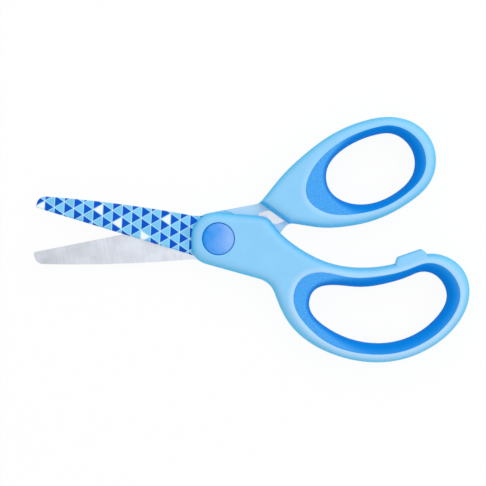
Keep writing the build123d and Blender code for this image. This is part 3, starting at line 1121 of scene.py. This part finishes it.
def cap_tree():
    """Geometry nodes for a domed cap, turned about the pivot, from its named sizes."""
    tree = bpy.data.node_groups.new("turned_cap", "GeometryNodeTree")
    sockets = {}
    kinds = dict.fromkeys(("Radius", "Base", "Height", "Crown", "Squareness"), "NodeSocketFloat")
    for name, kind in (*kinds.items(), ("Material", "NodeSocketMaterial")):
        sockets[name] = tree.interface.new_socket(name, in_out="INPUT", socket_type=kind)
    tree.interface.new_socket("Geometry", in_out="OUTPUT", socket_type="NodeSocketGeometry")
    given = add(tree, "NodeGroupInput").outputs
    foot_share = 0.1  # the last part of the profile runs back to the axis along the foot

    grid = add(
        tree, "GeometryNodeMeshGrid",
        values={"Size X": 2 * math.pi, "Size Y": 1.0, "Vertices X": 121, "Vertices Y": 41},
    )
    spot = add(tree, "ShaderNodeSeparateXYZ", {0: add(tree, "GeometryNodeInputPosition")}).outputs
    share = add(tree, "ShaderNodeMath", {0: spot["Y"]}, {1: 0.5}, operation="ADD")
    made = {name: given[name] for name in sockets}
    made["angle"] = spot["X"]
    made["turn"] = add(
        tree, "ShaderNodeMapRange", {"Value": share},
        {"From Max": 1 - foot_share, "To Max": math.pi / 2},
    )
    made["back"] = add(
        tree, "ShaderNodeMapRange", {"Value": share},
        {"From Min": 1 - foot_share, "From Max": 1.0, "To Min": 1.0, "To Max": 0.0},
    )
    for name, operation, *inputs in (
        ("power", "DIVIDE", 2.0, "Squareness"),
        ("wide", "SINE", "turn"),
        ("wide", "POWER", "wide", "power"),
        ("high", "COSINE", "turn"),
        ("high", "MAXIMUM", "high", 0.0),
        ("high", "POWER", "high", "power"),
        ("radius", "MULTIPLY", "wide", "Radius"),
        ("radius", "MULTIPLY", "radius", "back"),
        ("bow", "MULTIPLY", "wide", "wide"),
        ("bow", "MULTIPLY", "bow", "high"),
        ("drop", "MULTIPLY", "bow", "Crown"),
        ("lift", "MULTIPLY", "high", "Height"),
        ("lift", "SUBTRACT", "lift", "drop"),
        ("Z", "ADD", "lift", "Base"),
        ("X", "COSINE", "angle"),
        ("X", "MULTIPLY", "radius", "X"),
        ("Y", "SINE", "angle"),
        ("Y", "MULTIPLY", "radius", "Y"),
    ):
        links = {k: made[word] for k, word in enumerate(inputs) if isinstance(word, str)}
        values = {k: value for k, value in enumerate(inputs) if not isinstance(value, str)}
        made[name] = add(tree, "ShaderNodeMath", links, values, operation=operation)
    where = add(tree, "ShaderNodeCombineXYZ", {axis: made[axis] for axis in "XYZ"})
    placed = add(tree, "GeometryNodeSetPosition", {"Geometry": grid, "Position": where})
    joined = add(
        tree, "GeometryNodeMergeByDistance", {"Geometry": placed}, {"Distance": 0.002 * MM}
    )
    real = add(tree, "GeometryNodeRealizeInstances", {"Geometry": joined})
    dressed = add(
        tree, "GeometryNodeSetMaterial", {"Geometry": real, "Material": given["Material"]}
    )
    add(tree, "NodeGroupOutput", {"Geometry": dressed})
    return tree, {name: socket.identifier for name, socket in sockets.items()}


class SCISSORS_OT_caps(bpy.types.Operator):
    """Make the caps over both ends of the rivet"""

    bl_idname = "scissors.caps"
    bl_label = "Pivot caps"

    def execute(self, context):
        material = moulded_cap_plastic()
        tree, identifiers = cap_tree()
        for node, body, side in (("front_cap", "finger_half", 1), ("back_cap", "thumb_half", -1)):
            low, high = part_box(node)
            cap = new_piece(node + "_moulding", bpy.data.meshes.new(node))
            modifier = cap.modifiers.new("turned_cap", "NODES")
            modifier.node_group = tree
            for name, value in (
                ("Radius", (high.x - low.x) / 2),
                ("Base", low.z if side > 0 else high.z),
                ("Height", side * (high.z - low.z)),
                ("Crown", CAP_CROWN * MM if side > 0 else 0.0),
                ("Squareness", CAP_SQUARENESS),
                ("Material", material),
            ):
                modifier[identifiers[name]] = value
            settle(cap)
            face_outwards(cap)
            smooth(cap, sharp=50)
            finish_piece(cap, material, body, node)
        return {"FINISHED"}


class SCISSORS_OT_blades(bpy.types.Operator):
    """Finish the two blades"""

    bl_idname = "scissors.blades"
    bl_label = "Blades"

    def execute(self, context):
        for node, outer_side, angle, anchor, pale_cells in PRINTS:
            name = f"printed_ground_steel_{node}"
            material = blade_finish(name, outer_side, angle, anchor, pale_cells)
            dress(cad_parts[node], material)
        return {"FINISHED"}


class SCISSORS_OT_pivot(bpy.types.Operator):
    """Finish the rivet and its washers"""

    bl_idname = "scissors.pivot"
    bl_label = "Rivet and washers"

    def execute(self, context):
        for node, material in (
            ("pivot_rivet", turned_steel("turned_rivet_steel", "#c4c6c9", 0.3)),
            ("spring_washer", turned_steel("blued_spring_steel", "#8f97a3", 0.38)),
            ("flat_washer", turned_steel("zinc_plated_washer_steel", "#ccd0d2", 0.34)),
        ):
            dress(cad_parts[node], material)
        return {"FINISHED"}


# ---- stage ----


def seen_directly(tree):
    """1 for what the camera sees, also mirrored in or through a piece, and 0 for other rays."""
    path = add(tree, "ShaderNodeLightPath").outputs
    seen = path["Is Camera Ray"]
    for ray in ("Is Glossy Ray", "Is Transmission Ray"):
        seen = add(tree, "ShaderNodeMath", {0: seen, 1: path[ray]}, operation="MAXIMUM")
    return seen


def paper_floor():
    """Matt white studio paper with a faint tooth. The camera sees it near white, with shadows."""
    material, tree, place, _ = new_material("matt_studio_paper")
    tooth = add(
        tree, "ShaderNodeTexNoise", {"Vector": place}, {"Scale": 1 / (1.5 * MM), "Detail": 3}
    )
    bump = add(
        tree, "ShaderNodeBump", {"Height": tooth},
        {"Strength": 0.1, "Distance": 0.02 * MM},
    )
    paper = add(
        tree, "ShaderNodeBsdfPrincipled", {"Normal": bump},
        {"Base Color": linear("#fafafa"), "Roughness": 0.9, "Specular IOR Level": 0.1},
    )
    share = add(
        tree, "ShaderNodeMath", {0: seen_directly(tree)}, {1: FLOOR_WHITENESS},
        operation="MULTIPLY",
    )
    white = add(tree, "ShaderNodeEmission", values={"Strength": 1.0})
    mix = add(tree, "ShaderNodeMixShader", {0: share, 1: paper, 2: white})
    add(tree, "ShaderNodeOutputMaterial", {"Surface": mix})
    return material


class SCISSORS_OT_stage(bpy.types.Operator):
    """Make the floor, the lamps and the camera"""

    bl_idname = "scissors.stage"
    bl_label = "Studio"

    def execute(self, context):
        scene = context.scene
        settings = scene.scissors_stage
        scene.view_settings.view_transform = "Standard"

        reach = FLOOR_REACH
        corners = [(-reach, -reach, 0), (reach, -reach, 0), (reach, reach, 0), (-reach, reach, 0)]
        mesh = bpy.data.meshes.new("studio_floor")
        mesh.from_pydata(corners, [], [(0, 1, 2, 3)])
        floor = new_piece("studio_floor", mesh)
        mesh.materials.append(paper_floor())

        world = bpy.data.worlds.new("studio")
        scene.world = world
        world.use_nodes = True
        tree = world.node_tree
        tree.nodes.clear()
        strength = add(
            tree, "ShaderNodeMapRange", {"Value": seen_directly(tree)},
            {"To Min": settings.fill, "To Max": 1.0},
        )
        sky = add(tree, "ShaderNodeBackground", {"Strength": strength}, {"Color": (1, 1, 1, 1)})
        add(tree, "ShaderNodeOutputWorld", {"Surface": sky})

        for name, place, share, size in LAMPS:
            lamp = bpy.data.lights.new(name, "AREA")
            lamp.shape = "DISK"
            lamp.size = size
            spot = Vector(place)
            level = spot.z / spot.length
            # A disc lamp's power, for the share of the level that it adds at the scissors.
            lamp.energy = settings.lamp_level * share * math.pi**2 * spot.length_squared / level
            body = new_piece(name, lamp)
            body.location = spot
            body.rotation_euler = (-spot).to_track_quat("-Z", "Y").to_euler()

        camera = bpy.data.cameras.new("camera")
        camera.lens = settings.lens
        distance = settings.view_width * camera.lens / camera.sensor_width
        eye = new_piece("camera", camera)
        eye.location = (settings.centre_x, settings.centre_y, distance + mid_height * MM)
        scene.camera = eye
        return {"FINISHED"}


# ---- the panel ----

OPERATORS = (
    SCISSORS_OT_handles,
    SCISSORS_OT_linings,
    SCISSORS_OT_caps,
    SCISSORS_OT_blades,
    SCISSORS_OT_pivot,
    SCISSORS_OT_stage,
)


class SCISSORS_PT_panel(bpy.types.Panel):
    """Lists the pieces and their sizes"""

    bl_idname = "SCISSORS_PT_panel"
    bl_label = "Soft-grip scissors"
    bl_space_type = "VIEW_3D"
    bl_region_type = "UI"
    bl_category = "Scissors"

    def draw(self, context):
        for operator in OPERATORS:
            self.layout.operator(operator.bl_idname)
        for group in (
            context.scene.scissors_handles,
            context.scene.scissors_print,
            context.scene.scissors_colours,
            context.scene.scissors_stage,
        ):
            box = self.layout.box()
            for name in group.__annotations__:
                box.prop(group, name)


GROUPS = {
    "scissors_handles": ScissorsHandleSizes,
    "scissors_print": ScissorsPrintSizes,
    "scissors_colours": ScissorsColours,
    "scissors_stage": ScissorsStageSettings,
}


def register():
    for name, group in GROUPS.items():
        bpy.utils.register_class(group)
        setattr(bpy.types.Scene, name, PointerProperty(type=group))
    for kind in (*OPERATORS, SCISSORS_PT_panel):
        bpy.utils.register_class(kind)


def unregister():
    for kind in (SCISSORS_PT_panel, *reversed(OPERATORS)):
        bpy.utils.unregister_class(kind)
    for name, group in reversed(GROUPS.items()):
        delattr(bpy.types.Scene, name)
        bpy.utils.unregister_class(group)


def main():
    """Makes every piece and the stage."""
    register()
    bpy.ops.scissors.handles()
    bpy.ops.scissors.linings()
    bpy.ops.scissors.caps()
    bpy.ops.scissors.blades()
    bpy.ops.scissors.pivot()
    bpy.ops.scissors.stage()


if __name__ == "__main__":
    main()
